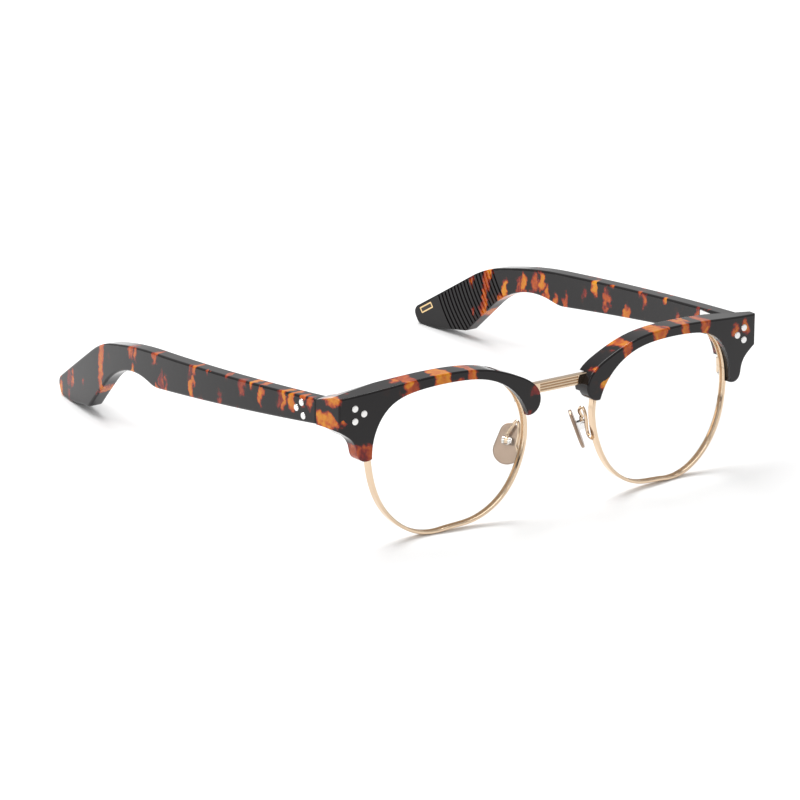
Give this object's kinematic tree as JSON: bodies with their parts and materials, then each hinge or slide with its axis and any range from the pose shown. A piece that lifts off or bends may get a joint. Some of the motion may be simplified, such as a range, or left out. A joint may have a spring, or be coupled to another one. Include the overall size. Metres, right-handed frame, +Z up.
{
  "type": "half rim eyeglasses",
  "caption": "Browline eyeglasses: acetate brows and temples over wire eyewires, with a ridged bridge, folding temples, rocking nose pads and clear lenses.",
  "frame": {"origin": "on the table, under the middle of the box that holds the glasses with their temples open", "axes": "+Z up from the table; the front looks along -Y; +X is the wearer's left"},
  "size_m": [0.15, 0.1481, 0.0451],
  "materials": {
    "acetate": "polished tortoiseshell acetate: near-black brown with amber, orange and red patches",
    "gold": "polished pale champagne-gold plating",
    "silver": "polished bright nickel",
    "lens": "clear demonstration lens with an anti-reflection coat",
    "titanium": "satin beige titanium",
    "steel": "plain nickel-silver core"
  },
  "bodies": {
    "front": {"bridge": "gold", "brow_left": "acetate", "brow_right": "acetate", "eyewire_left": "gold", "eyewire_right": "gold", "lens_left": "lens", "lens_right": "lens", "pad_arm_left": "gold", "pad_arm_right": "gold", "rim_lock_upper_left": "gold", "rim_lock_upper_right": "gold", "rim_lock_lower_left": "gold", "rim_lock_lower_right": "gold", "rim_lock_screw_left": "gold", "rim_lock_screw_right": "gold", "hinge_front_leaf_left": "silver", "hinge_front_leaf_right": "silver", "front_rivets_left": "silver", "front_rivets_right": "silver", "hinge_screw_left": "silver", "hinge_screw_right": "silver", "brow_screw_left": "silver", "brow_screw_right": "silver"},
    "nose_pad_left_body": {"nose_pad_left": "titanium", "pad_box_left": "silver", "pad_screw_left": "silver"},
    "temple_left_body": {"temple_left": "acetate", "hinge_temple_leaf_left": "silver", "temple_rivets_left": "silver", "core_wire_left": "steel", "tip_inlay_left": "gold"},
    "nose_pad_right_body": {"nose_pad_right": "titanium", "pad_box_right": "silver", "pad_screw_right": "silver"},
    "temple_right_body": {"temple_right": "acetate", "hinge_temple_leaf_right": "silver", "temple_rivets_right": "silver", "core_wire_right": "steel", "tip_inlay_right": "gold"}
  },
  "joints": [
    {"name": "left_temple_hinge", "type": "hinge", "parent": "front", "child": "temple_left_body", "pos_m": [0.0668, -0.05925, 0.03679], "axis": [0, 0.0664, 0.9978], "range_deg": [0, 90]},
    {"name": "right_temple_hinge", "type": "hinge", "parent": "front", "child": "temple_right_body", "pos_m": [-0.0668, -0.05925, 0.03679], "axis": [0, -0.0664, -0.9978], "range_deg": [0, 85]},
    {"name": "left_pad_rock", "type": "hinge", "parent": "front", "child": "nose_pad_left_body", "pos_m": [0.01328, -0.06617, 0.01975], "axis": [0.5736, 0.8192, 0], "range_deg": [-10, 10]},
    {"name": "right_pad_rock", "type": "hinge", "parent": "front", "child": "nose_pad_right_body", "pos_m": [-0.01328, -0.06617, 0.01975], "axis": [0.5736, -0.8192, 0], "range_deg": [-10, 10]}
  ]
}
